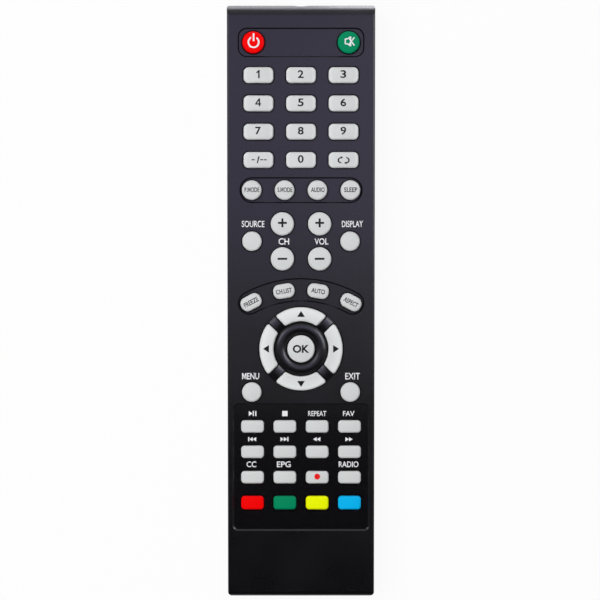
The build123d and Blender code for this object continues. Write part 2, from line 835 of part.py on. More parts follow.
def make_key(key):
    """Key with a crowned cap, a flange that stays under the face, and a plunger that meets the board."""
    crown = pad_crown_radius if key.shape == "arrow" else key_crown_radius
    plunger = plunger_point(key)
    with BuildPart() as piece:
        with BuildSketch(Plane.XY.offset(flange_bottom)):
            add(key_plan(key, flange_width))
        extrude(amount=flange_thickness)
        with BuildSketch(Plane.XY.offset(flange_top)):
            add(key_plan(key))
        extrude(amount=key_top - flange_top)
        with Locations((key.x, key.y, key_top - crown)):
            Sphere(crown, mode=Mode.INTERSECT)
        fillet(piece.faces().sort_by(Axis.Z)[-1].edges(), key_edge_radius)
        with BuildSketch(Plane.XY.offset(plunger_bottom)):
            with Locations(plunger):
                Circle(plunger_radius)
        extrude(amount=flange_bottom - plunger_bottom)
    piece.part.label = key.name
    return piece.part


case_pieces = [
    make_upper_case(),
    make_lower_case(),
    make_battery_door(),
    make_circuit_board(),
    make_keypad_mat(),
    make_board_parts(),
    make_infrared_led(),
    make_battery_contacts(),
    make_battery_cells(),
]
for piece in case_pieces + [make_key(key) for key in all_keys]:
    export_step(piece, f"parts/{piece.label}.step")
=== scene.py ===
"""A television remote control on a white table: its finishes, its printed marks, the light and the camera."""

import json
from math import cos, pi, radians, sin

import bmesh
import bpy
from mathutils import Matrix, Vector
from mathutils.bvhtree import BVHTree


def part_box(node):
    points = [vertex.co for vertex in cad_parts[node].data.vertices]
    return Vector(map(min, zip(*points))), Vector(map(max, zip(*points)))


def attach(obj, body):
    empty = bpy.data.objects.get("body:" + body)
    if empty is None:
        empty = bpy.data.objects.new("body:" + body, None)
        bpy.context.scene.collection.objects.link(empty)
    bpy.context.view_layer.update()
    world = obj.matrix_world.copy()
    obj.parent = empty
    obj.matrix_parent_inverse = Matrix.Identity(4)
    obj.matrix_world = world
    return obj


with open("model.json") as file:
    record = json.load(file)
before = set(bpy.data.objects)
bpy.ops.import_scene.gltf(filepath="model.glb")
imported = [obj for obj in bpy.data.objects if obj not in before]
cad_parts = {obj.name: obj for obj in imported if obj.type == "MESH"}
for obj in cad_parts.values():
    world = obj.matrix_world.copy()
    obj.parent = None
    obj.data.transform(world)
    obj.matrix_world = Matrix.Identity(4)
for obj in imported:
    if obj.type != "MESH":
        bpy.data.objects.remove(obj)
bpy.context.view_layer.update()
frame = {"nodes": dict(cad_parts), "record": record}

mm = 0.001

# Camera: straight above the face, with a long lens
view_width = 203.04 * mm
view_centre = (-0.35 * mm, 0.13 * mm)
camera_lens = 200.0
camera_sensor = 36.0
camera_near, camera_far = 0.05, 20.0

# Table: how far it reaches, how far it lies below the back, its colour and how much of it glows
table_reach = 3.0
table_drop = 0.02 * mm
table_colour = 0.86
table_glow = 0.93

# Ink of the marks: how far it stands proud of a surface, how deep its foot goes and how long its edges may be
ink_proud = 0.03 * mm
ink_foot = 0.06 * mm
ink_step = 0.45 * mm

# Points closer than this are one, and a face thinner than this share of its length is a sliver
same_point = 0.001 * mm
sliver_share = 0.001

# Sizes of numbers and words, and widths of the strokes of signs
digit_height, digit_width = 2.65 * mm, 1.95 * mm
key_word_height = 1.6 * mm
pad_word_height = 2.2 * mm
media_word_height = 1.75 * mm
low_word_height = 2.0 * mm
sign_stroke = 0.68 * mm
thin_stroke = 0.4 * mm

# The pointers of the arrow keys stand this far from the middle of the pad
pointer_radius = 11.85 * mm

# The face lies this far below the tops of the keys, whose colour ends a little way below the face in a short
# fade to black, a painted shade for the gap round each key
key_proud = 1.3 * mm
gap_shade_below_face = 0.45 * mm
gap_shade_fade = 0.1 * mm

# The rims of the keys are painted paler from this far below the top, a painted highlight, and below their
# colour the keys are black silicone, which paints the shade in the gaps round them
rim_highlight_below_top = 0.55 * mm
rim_highlight_tint = 1.18
black_silicone_and_gap_shade = (0.008, 0.008, 0.009)

# The polished recess round the media keys: its top below the face, its depth, its upper end and its gloss
media_floor_drop = 0.08 * mm
media_floor_depth = 0.7 * mm
media_floor_start = -30 * mm
media_gloss = 0.19

# How strongly the grain of a moulded surface tilts it
grain_strength = 0.6

# The arc on which the four oval keys stand turns their words with it
oval_turns = {"key_freeze": 28.1, "key_channel_list": 9.3, "key_auto": -9.3, "key_aspect": -28.1}


def centre_of(node):
    """Middle of a node's box, seen from above."""
    low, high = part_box(node)
    return Vector(((low.x + high.x) / 2, (low.y + high.y) / 2))


face_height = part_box("key_ok")[1].z - key_proud


# Finishes


class Finish:
    """A material with its nodes at hand."""

    def __init__(self, name):
        self.material = bpy.data.materials.new(name)
        self.material.use_nodes = True
        self.tree = self.material.node_tree
        self.shader = self.tree.nodes["Principled BSDF"]
        self.place = self.node("ShaderNodeTexCoord").outputs["Object"]

    def node(self, kind, **values):
        """A new node with some of its properties and inputs set."""
        made = self.tree.nodes.new(kind)
        for name, value in values.items():
            if name in made.inputs:
                made.inputs[name].default_value = value
            else:
                setattr(made, name, value)
        return made

    def join(self, source, target):
        """A link from one socket to another."""
        self.tree.links.new(source, target)

    def dress(self, cover, gloss):
        """The colour and the roughness of the surface."""
        self.join(cover, self.shader.inputs["Base Color"])
        self.join(gloss, self.shader.inputs["Roughness"])

    def axis(self, name):
        """One coordinate of the place on the surface."""
        parts = self.node("ShaderNodeSeparateXYZ")
        self.join(self.place, parts.inputs["Vector"])
        return parts.outputs[name]

    def product(self, first, second):
        """Two values multiplied."""
        made = self.node("ShaderNodeMath", operation="MULTIPLY")
        self.join(first, made.inputs[0])
        self.join(second, made.inputs[1])
        return made.outputs["Value"]

    def noise(self, size, detail=2.0, stretch=None):
        """A noise whose features are about that size, and longer along an axis that is stretched."""
        made = self.node("ShaderNodeTexNoise", Detail=detail, Scale=1 / size)
        place = self.place
        if stretch:
            mapping = self.node("ShaderNodeMapping", Scale=stretch)
            self.join(place, mapping.inputs["Vector"])
            place = mapping.outputs["Vector"]
        self.join(place, made.inputs["Vector"])
        return made.outputs["Fac"]

    def spread(self, source, low, high, start=0.35, end=0.65):
        """The source's middle range, stretched to run from low to high."""
        made = self.node("ShaderNodeMapRange")
        made.inputs["From Min"].default_value = start
        made.inputs["From Max"].default_value = end
        made.inputs["To Min"].default_value = low
        made.inputs["To Max"].default_value = high
        self.join(source, made.inputs["Value"])
        return made.outputs["Result"]

    def blend(self, share, first, second):
        """A colour between two, as the share goes from 0 to 1."""
        made = self.node("ShaderNodeMix", data_type="RGBA")
        self.join(share, made.inputs["Factor"])
        for colour, socket in ((first, made.inputs["A"]), (second, made.inputs["B"])):
            if isinstance(colour, bpy.types.NodeSocket):
                self.join(colour, socket)
            else:
                socket.default_value = (*colour, 1)
        return made.outputs["Result"]

    def relief(self, height, depth):
        """A grain of that depth."""
        made = self.node("ShaderNodeBump", Strength=grain_strength, Distance=depth)
        self.join(height, made.inputs["Height"])
        self.join(made.outputs["Normal"], self.shader.inputs["Normal"])


def tint(colour, factor):
    """The colour made lighter or darker by a factor."""
    return tuple(min(1.0, channel * factor) for channel in colour)


class Moulded(Finish):
    """A moulded surface: grain of a given size and depth, and slow drifts of its colour and gloss."""

    def __init__(self, name, colour, gloss, grain, depth, drift=0.06, specular=0.5):
        super().__init__(name)
        slow = self.noise(14 * mm, detail=3)
        speckle = self.spread(self.noise(grain * 3), 0, 1)
        shade = self.blend(self.spread(slow, 0, 1), tint(colour, 1 - drift), tint(colour, 1 + drift))
        self.cover = self.blend(speckle, shade, colour)
        self.gloss = self.spread(slow, gloss - 0.03, gloss + 0.03)
        self.dress(self.cover, self.gloss)
        self.relief(self.noise(grain), depth)
        self.shader.inputs["Specular IOR Level"].default_value = specular


def case_plastic():
    """Satin black plastic, more polished on the floor of the recess round the media keys."""
    made = Moulded("case_black", (0.0029, 0.0025, 0.0035), 0.3, 0.22 * mm, 0.005 * mm)
    height, along = made.axis("Z"), made.axis("Y")
    top = face_height - media_floor_drop
    foot = top - media_floor_depth
    below_face = made.spread(height, 1, 0, top, top + 0.05 * mm)
    at_lower_end = made.spread(along, 1, 0, media_floor_start - 1 * mm, media_floor_start)
    above_foot = made.spread(height, 0, 1, foot, foot + 0.1 * mm)
    polished = made.node("ShaderNodeMix")
    made.join(made.product(made.product(below_face, at_lower_end), above_foot), polished.inputs["Factor"])
    made.join(made.gloss, polished.inputs["A"])
    polished.inputs["B"].default_value = media_gloss
    made.dress(made.cover, polished.outputs["Result"])
    return made.material


def cap(name, colour, specular):
    """A key: black silicone below the face, a painted shade for the gap round it; its colour above, with a
    painted highlight that makes its rim paler.
    """
    made = Moulded(name, colour, 0.45, 0.12 * mm, 0.004 * mm, 0.025, specular)
    height = made.axis("Z")
    top = face_height + key_proud
    # painted highlight: the rim of the top is painted paler than the rest of the key
    rim_highlight_share = made.spread(height, 1, 0, top - rim_highlight_below_top, top - rim_highlight_below_top / 2)
    with_rim_highlight = made.blend(rim_highlight_share, made.cover, tint(colour, rim_highlight_tint))
    # painted shade: below the face the key turns black, standing in for the shade in the gap round it
    edge = face_height - gap_shade_below_face
    above_gap_shade = made.spread(height, 0, 1, edge, edge + gap_shade_fade)
    made.dress(made.blend(above_gap_shade, black_silicone_and_gap_shade, with_rim_highlight), made.gloss)
    return made.material


def ink(name, colour):
    """Printed ink: slightly uneven cover."""
    made = Finish(name)
    cover = made.blend(made.spread(made.noise(0.2 * mm), 0, 1), tint(colour, 0.94), tint(colour, 1.05))
    made.dress(cover, made.spread(made.noise(0.4 * mm), 0.45, 0.6))
    made.shader.inputs["Specular IOR Level"].default_value = 0.2
    return made.material


def laminate():
    """Phenolic board: tan with faint fibres along it."""
    made = Finish("board_laminate")
    fibre = made.spread(made.noise(0.8 * mm, 4.0, (1, 0.08, 1)), 0, 1)
    tan = made.blend(fibre, (0.22, 0.13, 0.05), (0.33, 0.2, 0.08))
    made.dress(tan, made.spread(fibre, 0.35, 0.5, 0, 1))
    return made.material


def nickel():
    """Plated spring steel: bright, with faint rolling lines."""
    made = Finish("contact_steel")
    lines = made.spread(made.noise(0.15 * mm, 3.0, (0.1, 1, 1)), 0, 1)
    plate = made.blend(lines, (0.55, 0.54, 0.5), (0.72, 0.71, 0.68))
    made.dress(plate, made.spread(lines, 0.18, 0.34, 0, 1))
    made.shader.inputs["Metallic"].default_value = 1.0
    return made.material


def clear_epoxy():
    """The LED's water-clear epoxy, slightly blue, with a frosted skin in places."""
    made = Finish("led_lens")
    haze = made.spread(made.noise(1.5 * mm), 0.05, 0.16)
    cloud = made.spread(made.noise(2.5 * mm), 0, 1)
    made.dress(made.blend(cloud, (0.8, 0.84, 0.95), (0.9, 0.92, 1.0)), haze)
    made.shader.inputs["Transmission Weight"].default_value = 0.75
    made.shader.inputs["IOR"].default_value = 1.5
    return made.material


def cell_jacket():
    """Two cells that lie head to tail: steel ends, a dark jacket and a pale band at the plus end."""
    made = Finish("cell_jacket")
    low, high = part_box("battery_cells")
    middle, half = (low.y + high.y) / 2, (high.y - low.y) / 2
    side = made.node("ShaderNodeMath", operation="SIGN")
    made.join(made.axis("X"), side.inputs[0])
    along = made.node("ShaderNodeMath", operation="SUBTRACT")
    made.join(made.axis("Y"), along.inputs[0])
    along.inputs[1].default_value = middle
    towards_minus = made.product(side.outputs["Value"], along.outputs["Value"])
    share = made.spread(towards_minus, 0, 1, half, -half)
    ramp = made.node("ShaderNodeValToRGB")
    ramp.color_ramp.interpolation = "CONSTANT"
    steel, jacket, band = (0.5, 0.5, 0.48, 1), (0.02, 0.03, 0.07, 1), (0.45, 0.3, 0.08, 1)
    minus_end, side_wall = ramp.color_ramp.elements
    minus_end.color = steel
    side_wall.position, side_wall.color = 0.055, jacket
    for place, colour in ((0.68, band), (0.93, steel)):
        ramp.color_ramp.elements.new(place).color = colour
    made.join(share, ramp.inputs["Fac"])
    scuff = made.spread(made.noise(1.2 * mm), 0, 1)
    dimmed = made.node("ShaderNodeMix", data_type="RGBA", blend_type="MULTIPLY")
    made.join(ramp.outputs["Color"], dimmed.inputs["A"])
    made.join(made.blend(scuff, (0.85, 0.85, 0.85), (1, 1, 1)), dimmed.inputs["B"])
    dimmed.inputs["Factor"].default_value = 1.0
    made.dress(dimmed.outputs["Result"], made.spread(scuff, 0.25, 0.4, 0, 1))
    made.shader.inputs["Metallic"].default_value = 0.3
    return made.material


finishes = {
    "case_black": case_plastic(),
    "key_grey": cap("key_grey", (0.63, 0.645, 0.64), 0.35),
    "key_red": cap("key_red", (0.9, 0.0006, 0.001), 0.05),
    "key_green": cap("key_green", (0.0004, 0.24, 0.105), 0.06),
    "key_yellow": cap("key_yellow", (0.83, 0.93, 0.0012), 0.05),
    "key_blue": cap("key_blue", (0.001, 0.45, 0.86), 0.08),
    "mat_silicone": Moulded("mat_silicone", black_silicone_and_gap_shade, 0.6, 0.12 * mm, 0.004 * mm).material,
    "board_laminate": laminate(),
    "part_epoxy": Moulded("part_epoxy", (0.02, 0.02, 0.022), 0.5, 0.1 * mm, 0.004 * mm).material,
    "led_lens": clear_epoxy(),
    "contact_steel": nickel(),
    "cell_jacket": cell_jacket(),
}
dark_ink = ink("dark_ink", (0.006, 0.006, 0.007))
white_ink = ink("white_ink", (0.82, 0.82, 0.84))
red_ink = ink("red_ink", (0.78, 0.003, 0.003))

for row in frame["record"]["subparts"]:
    for place in frame["nodes"][row["node"]].material_slots:
        place.material = finishes[row["material_slot"]]


# Flat shapes of the marks, drawn about the origin


def flat_mesh(name, loops):
    """A flat mesh with one face for each closed loop of points."""
    mesh = bpy.data.meshes.new(name)
    points, faces = [], []
    for loop in loops:
        faces.append(range(len(points), len(points) + len(loop)))
        points += [(x, y, 0) for x, y in loop]
    mesh.from_pydata(points, [], faces)
    return mesh


def letters(text, bold=0.0):
    """Letters as the plain font sets them, as a flat mesh."""
    curve = bpy.data.curves.new("letters", "FONT")
    curve.body = text
    curve.offset = bold
    curve.resolution_u = 4
    writer = bpy.data.objects.new("letters", curve)
    bpy.context.scene.collection.objects.link(writer)
    bpy.context.view_layer.update()
    mesh = bpy.data.meshes.new_from_object(writer.evaluated_get(bpy.context.evaluated_depsgraph_get()))
    bpy.data.objects.remove(writer)
    return mesh


def span(mesh, axis=0):
    """Lowest and highest place of a mesh along an axis."""
    places = [v.co[axis] for v in mesh.vertices]
    return min(places), max(places)


def letter_m(start, end, top, bold):
    """Outline of a bolder M between two places: the font's own folds over itself when made bolder."""
    leg = 0.1 + 2 * bold
    start, end, low, top = start - bold, end + bold, -bold, top + bold
    middle, reach = (start + end) / 2, top - low
    # the notch, the point below it and the inner tops of the legs, as shares of the height
    left = [(start, low), (start, top), (start + 1.25 * leg, top), (middle, low + 0.38 * reach)]
    inner = [(middle, low + 0.02 * reach), (start + leg, low + 0.66 * reach), (start + leg, low)]
    mirrored = [(start + end - x, y) for x, y in left[2::-1]]
    inner_mirrored = [(start + end - x, y) for x, y in inner[:0:-1]]
    return left + mirrored + inner_mirrored + inner


def word(text, height, width, bold=0.018):
    """A word as a flat mesh of that height and width; the font's own letters, but for an M."""
    before, m, after = text.partition("M")
    shape = bmesh.new()
    if m:
        end = span(letters(before + m))[1]
        low, high = span(letters(m))
        outline = letter_m(end - high + low, end, span(letters(m), 1)[1], bold)
        shape.faces.new([shape.verts.new((x, y, 0)) for x, y in outline])
        rest = letters(after, bold)
        rest.transform(Matrix.Translation((span(letters(text))[1] - span(letters(after))[1], 0, 0)))
        shape.from_mesh(rest)
    if before:
        shape.from_mesh(letters(before, bold))
    mesh = bpy.data.meshes.new("word")
    shape.to_mesh(mesh)
    shape.free()
    (left, right), (bottom, top) = span(mesh), span(mesh, 1)
    middle = Vector(((left + right) / 2, (bottom + top) / 2, 0))
    stretch = Matrix.Diagonal((width / (right - left), height / (top - bottom), 1, 1))
    mesh.transform(stretch @ Matrix.Translation(-middle))
    return mesh


def box_loop(x, y, width, height):
    """Corners of an upright box about a point."""
    return [(x + i * width / 2, y + j * height / 2) for i, j in ((-1, -1), (1, -1), (1, 1), (-1, 1))]


def ring_loop(radius, stroke, start, end, steps=24, squeeze=1.0):
    """Outline of a stretch of a ring, from one angle to another in degrees."""
    turns = [radians(start + (end - start) * i / steps) for i in range(steps + 1)]
    outer = [((radius + stroke / 2) * cos(t), squeeze * (radius + stroke / 2) * sin(t)) for t in turns]
    inner = [((radius - stroke / 2) * cos(t), squeeze * (radius - stroke / 2) * sin(t)) for t in turns]
    return outer + inner[::-1]


def pointer_tree():
    """Geometry nodes that set a row of filled triangles along X, all pointing the same way."""
    tree = bpy.data.node_groups.new("pointer_row", "GeometryNodeTree")
    for name, kind in (("Count", "Int"), ("Width", "Float"), ("Height", "Float"), ("Ink", "Material")):
        tree.interface.new_socket(name, in_out="INPUT", socket_type=f"NodeSocket{kind}")
    tree.interface.new_socket("Geometry", in_out="OUTPUT", socket_type="NodeSocketGeometry")
    add, join = tree.nodes.new, tree.links.new
    given, result = add("NodeGroupInput"), add("NodeGroupOutput")
    line, step = add("GeometryNodeMeshLine"), add("ShaderNodeCombineXYZ")
    join(given.outputs["Count"], line.inputs["Count"])
    join(given.outputs["Width"], step.inputs["X"])
    join(step.outputs["Vector"], line.inputs["Offset"])
    triangle = add("GeometryNodeMeshCircle")
    triangle.fill_type = "NGON"
    triangle.inputs["Vertices"].default_value = 3
    triangle.inputs["Radius"].default_value = 1.0
    # a triangle of radius 1 is 1.5 wide and the root of 3 high
    wide, tall, size = add("ShaderNodeMath"), add("ShaderNodeMath"), add("ShaderNodeCombineXYZ")
    for divide, name, reach, axis in ((wide, "Width", 1.5, "X"), (tall, "Height", 3**0.5, "Y")):
        divide.operation = "DIVIDE"
        divide.inputs[1].default_value = reach
        join(given.outputs[name], divide.inputs[0])
        join(divide.outputs["Value"], size.inputs[axis])
    size.inputs["Z"].default_value = 1.0
    copies, real, colour = (
        add("GeometryNodeInstanceOnPoints"),
        add("GeometryNodeRealizeInstances"),
        add("GeometryNodeSetMaterial"),
    )
    join(line.outputs["Mesh"], copies.inputs["Points"])
    join(triangle.outputs["Mesh"], copies.inputs["Instance"])
    join(size.outputs["Vector"], copies.inputs["Scale"])
    join(copies.outputs["Instances"], real.inputs["Geometry"])
    join(real.outputs["Geometry"], colour.inputs["Geometry"])
    join(given.outputs["Ink"], colour.inputs["Material"])
    join(colour.outputs["Geometry"], result.inputs["Geometry"])
    return tree


pointers = pointer_tree()


def pointer_row(count, width, height, colour, turn=0.0, bars=()):
    """A flat mesh of triangles in a row and upright bars, centred and turned by degrees."""
    holder = bpy.data.objects.new("pointer_row", bpy.data.meshes.new("pointer_row"))
    bpy.context.scene.collection.objects.link(holder)
    row = holder.modifiers.new("row", "NODES")
    row.node_group = pointers
    values = {"Count": count, "Width": width, "Height": height, "Ink": colour}
    for socket in pointers.interface.items_tree:
        if socket.name in values:
            row[socket.identifier] = values[socket.name]
    bpy.context.view_layer.update()
    mesh = bpy.data.meshes.new_from_object(holder.evaluated_get(bpy.context.evaluated_depsgraph_get()))
    holder.modifiers.remove(row)
    bpy.data.objects.remove(holder)
    shape = bmesh.new()
    shape.from_mesh(mesh)
    for x, bar_width in bars:
        shape.faces.new([shape.verts.new((*p, 0)) for p in box_loop(x, 0, bar_width, height)])
    xs = [v.co.x for v in shape.verts]
    bmesh.ops.translate(shape, vec=(-(max(xs) + min(xs)) / 2, 0, 0), verts=shape.verts)
    shape.to_mesh(mesh)
    shape.free()
    mesh.transform(Matrix.Rotation(radians(turn), 4, "Z"))
    return mesh


# Putting a mark on a surface


surfaces = {}


def surface_of(node):
    """The node's faces, ready to be met by rays."""
    if node not in surfaces:
        surfaces[node] = BVHTree.FromObject(frame["nodes"][node], bpy.context.evaluated_depsgraph_get())
    return surfaces[node]


def print_mark(name, mesh, place, node, body, colour, turn=0.0):
    """A thin closed layer of ink over a flat shape, laid on the surface below it, riding on a body."""
    shape = bmesh.new()
    shape.from_mesh(mesh)
    bpy.data.meshes.remove(mesh)
    bmesh.ops.remove_doubles(shape, verts=shape.verts, dist=same_point)
    # the font fills some letters with flat slivers, which join the faces beside them
    slivers = []
    for face in shape.faces:
        longest = max(face.edges, key=lambda edge: edge.calc_length())
        if face.calc_area() < sliver_share * longest.calc_length() ** 2:
            slivers.append(longest)
    bmesh.ops.dissolve_edges(shape, edges=slivers)
    stand = Matrix.Translation((*place, 0)) @ Matrix.Rotation(radians(turn), 4, "Z")
    bmesh.ops.transform(shape, matrix=stand, verts=shape.verts)
    bmesh.ops.triangulate(shape, faces=shape.faces)
    for _ in range(4):
        long_edges = [e for e in shape.edges if e.calc_length() > ink_step]
        if not long_edges:
            break
        bmesh.ops.subdivide_edges(shape, edges=long_edges, cuts=1)
        bmesh.ops.triangulate(shape, faces=shape.faces)
    for face in shape.faces:
        if face.normal.z < 0:
            face.normal_flip()
    raised = bmesh.ops.extrude_face_region(shape, geom=shape.faces[:], use_keep_orig=True)["geom"]
    top = {v for v in raised if isinstance(v, bmesh.types.BMVert)}
    skin = surface_of(node)
    for vertex in shape.verts:
        hit = skin.ray_cast(Vector((vertex.co.x, vertex.co.y, 1.0)), Vector((0, 0, -1)))[0]
        vertex.co.z = hit.z + (ink_proud if vertex in top else -ink_foot)
    bmesh.ops.recalc_face_normals(shape, faces=shape.faces)
    done = bpy.data.meshes.new(name)
    shape.to_mesh(done)
    shape.free()
    done.materials.append(colour)
    mark = bpy.data.objects.new(name, done)
    bpy.context.scene.collection.objects.link(mark)
    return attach(mark, body)


def mark_key(name, mesh, colour=dark_ink, shift=(0.0, 0.0), turn=0.0):
    """A mark in the middle of a key, or shifted from there."""
    key = f"key_{name}"
    return print_mark(f"mark_{name}", mesh, centre_of(key) + Vector(shift), key, key, colour, turn)


def mark_case(name, mesh, key, shift):
    """A white mark on the case, beside the key that it names."""
    place = centre_of(f"key_{key}") + Vector(shift)
    return print_mark(f"label_{name}", mesh, place, "upper_case", "case", white_ink)


def scaled(points):
    """Points in metres, from points in millimetres."""
    return [(x * mm, y * mm) for x, y in points]


def bar_loop(start, end, stroke):
    """Outline of a straight stroke from one point to another."""
    along = (Vector(end) - Vector(start)).normalized() * stroke / 2
    side = Vector((-along.y, along.x))
    return [tuple(Vector(p) + s) for p, s in ((start, -side), (end, -side), (end, side), (start, side))]


def print_digits():
    """Numbers of the number pad, with the dash key and the recall key."""
    rise = (-0.1 * mm, 0.3 * mm)
    for digit in "02356789":
        mark_key(digit, word(digit, digit_height, digit_width, 0.02), shift=rise)
    one = [(0.0, -1.4), (0.5, -1.4), (0.5, 1.4), (0.1, 1.4)]
    one += [(-0.15, 1.0), (-0.6, 0.72), (-0.6, 0.25), (0.0, 0.55)]
    mark_key("1", flat_mesh("one", [scaled(one)]), shift=rise)
    # the 4 in two parts, above and below the foot of its opening
    bar = [(-0.92, -0.32), (-0.97, -0.4), (-0.97, -0.75), (0.2, -0.75), (0.2, -1.32), (0.65, -1.32)]
    bar += [(0.65, -0.75), (0.97, -0.75), (0.97, -0.32), (0.65, -0.32), (0.2, -0.32), (-0.42, -0.32)]
    peak = [(-0.42, -0.32), (0.2, 0.62), (0.2, -0.32), (0.65, -0.32)]
    peak += [(0.65, 1.32), (0.15, 1.32), (-0.92, -0.32)]
    mark_key("4", flat_mesh("four", [scaled(bar), scaled(peak)]), shift=rise)
    dash = [box_loop(x * mm, 0, 0.95 * mm, 0.38 * mm) for x in (-1.7, 1.2, 2.4)]
    dash.append(scaled([(-0.5, -1.15), (-0.05, -1.15), (0.5, 1.15), (0.05, 1.15)]))
    mark_key("dash", flat_mesh("dash", dash), shift=(-0.1 * mm, 0.05 * mm))
    # two half loops that face each other, each with a point where it ends
    halves = []
    for side in (-1, 1):
        arc = ring_loop(1.15 * mm, 1.2 * thin_stroke, -70, 82, squeeze=0.8)
        point = scaled([(0.1, -0.93), (1.0, -1.4), (1.0, -0.46)])
        halves.append([(side * (x + 0.65 * mm), side * y) for x, y in arc])
        halves.append([(side * x, side * y) for x, y in point])
    mark_key("recall", flat_mesh("recall", halves), shift=(0, -0.1 * mm))


def print_key_words():
    """Small dark words on the round and the oval keys, and the middle key's."""
    rounds = [
        ("picture_mode", "P.MODE", 5.0),
        ("sound_mode", "S.MODE", 5.0),
        ("audio", "AUDIO", 4.6),
        ("sleep", "SLEEP", 4.4),
    ]
    for name, text, width in rounds:
        mark_key(name, word(text, key_word_height, width * mm), shift=(0.1 * mm, 0.1 * mm))
    ovals = [
        ("freeze", "FREEZE", 5.2),
        ("channel_list", "CH.LIST", 5.4),
        ("auto", "AUTO", 4.6),
        ("aspect", "ASPECT", 5.2),
    ]
    for name, text, width in ovals:
        turn = oval_turns[f"key_{name}"]
        mark_key(name, word(text, key_word_height, width * mm), turn=turn)
    mark_key("ok", word("OK", 2.7 * mm, 5.6 * mm, 0.035))


def print_signs():
    """Plus and minus, the four pointers, the power and mute signs and the record dot."""
    reach = 3.0 * mm
    for name in ("channel", "volume"):
        plus = [box_loop(0, 0, reach, sign_stroke)]
        for side in (-1, 1):
            arm = (reach - sign_stroke) / 2
            plus.append(box_loop(0, side * (sign_stroke + arm) / 2, sign_stroke, arm))
        mark_key(f"{name}_up", flat_mesh("plus", plus), shift=(0, 0.3 * mm))
        minus = flat_mesh("minus", [box_loop(0, 0, 1.08 * reach, sign_stroke)])
        mark_key(f"{name}_down", minus)
    pad = centre_of("key_ok")
    for i, name in enumerate(["right", "up", "left", "down"]):
        arrow = pointer_row(1, 2.0 * mm, 2.6 * mm, dark_ink, turn=90 * i)
        place = pad + Vector((cos(i * pi / 2), sin(i * pi / 2))) * pointer_radius
        key = f"key_{name}"
        print_mark(f"mark_{name}", arrow, place, key, key, dark_ink)
    ring = ring_loop(1.76 * mm, 0.56 * mm, 118, 416, steps=48)
    stem = box_loop(0, 1.7 * mm, 0.6 * mm, 2.7 * mm)
    mark_key("power", flat_mesh("power", [ring, stem]), white_ink, shift=(0.1 * mm, 0))
    # a loudspeaker in outline, with a cross over its mouth
    outline = scaled([(-1.5, -0.85), (-0.65, -0.85), (0.35, -1.6), (0.35, 1.6), (-0.65, 0.85), (-1.5, 0.85)])
    loops = [bar_loop(a, b, thin_stroke) for a, b in zip(outline, outline[1:] + outline[:1])]
    for side in (-1, 1):
        loops.append(bar_loop((-0.35 * mm, side * 1.2 * mm), (1.6 * mm, -side * 1.4 * mm), thin_stroke))
    mark_key("mute", flat_mesh("mute", loops), white_ink, shift=(0.3 * mm, 0.25 * mm))
    dot = scaled([(0.98 * cos(i * pi / 16), 0.98 * sin(i * pi / 16)) for i in range(32)])
    mark_key("record", flat_mesh("dot", [dot]), red_ink, shift=(0, 0.25 * mm))


def print_case_words():
    """White words and signs on the case."""
    above = 4.35
    pad_words = [
        ("source", "SOURCE", "source", 0.4, 5.85, 7.7),
        ("display", "DISPLAY", "display", 0.8, 5.85, 7.2),
        ("channel", "CH", "channel_up", 0.5, -5.95, 3.6),
        ("volume", "VOL", "volume_up", 0.6, -5.95, 4.7),
        ("menu", "MENU", "menu", -0.4, 5.35, 5.8),
        ("exit", "EXIT", "exit", 0.8, 5.35, 5.0),
    ]
    media_words = [
        ("repeat", "REPEAT", "repeat", 0.0, above, 6.2),
        ("favourite", "FAV", "favourite", -0.25, above, 3.9),
    ]
    low_words = [
        ("captions", "CC", "captions", -0.4, above, 3.3),
        ("guide", "EPG", "guide", -0.35, above, 4.7),
        ("radio", "RADIO", "radio", -0.3, above, 6.7),
    ]
    rows = ((pad_word_height, pad_words), (media_word_height, media_words), (low_word_height, low_words))
    for height, words in rows:
        for name, text, key, x, y, width in words:
            mark_case(name, word(text, height, width * mm), key, (x * mm, y * mm))
    tall = 1.75 * mm
    wide = 1.25 * mm
    bar = 0.4 * mm
    play = pointer_row(1, wide, tall, white_ink, bars=((1.1 * mm, bar), (1.95 * mm, bar)))
    mark_case("play", play, "play", (0, above * mm))
    mark_case("stop", flat_mesh("stop", [box_loop(0, 0, 1.8 * mm, 1.8 * mm)]), "stop", (0, above * mm))
    low = 1.5 * mm
    narrow = 1.15 * mm
    end_bar = ((narrow * 5 / 3 + bar / 2, bar),)
    signs = {
        "previous": pointer_row(2, narrow, low, white_ink, 180, end_bar),
        "next": pointer_row(2, narrow, low, white_ink, 0, end_bar),
        "rewind": pointer_row(2, wide, low, white_ink, 180),
        "forward": pointer_row(2, wide, low, white_ink),
    }
    for name, mesh in signs.items():
        mark_case(name, mesh, name, (-0.15 * mm, 4.25 * mm))


print_digits()
print_key_words()
print_signs()
print_case_words()


# Table, light and camera


def shader_nodes(tree, *kinds):
    """New shader nodes of those kinds."""
    return [tree.nodes.new(f"ShaderNode{kind}") for kind in kinds]


def seen_rays(tree):
    """1 for camera, glossy and transmitted rays, and 0 for those that only light things."""
    path = tree.nodes.new("ShaderNodeLightPath")
    share = path.outputs["Is Camera Ray"]
    for name in ("Is Glossy Ray", "Is Transmission Ray"):
        larger = tree.nodes.new("ShaderNodeMath")
        larger.operation = "MAXIMUM"
        tree.links.new(share, larger.inputs[0])
        tree.links.new(path.outputs[name], larger.inputs[1])
        share = larger.outputs["Value"]
    return share


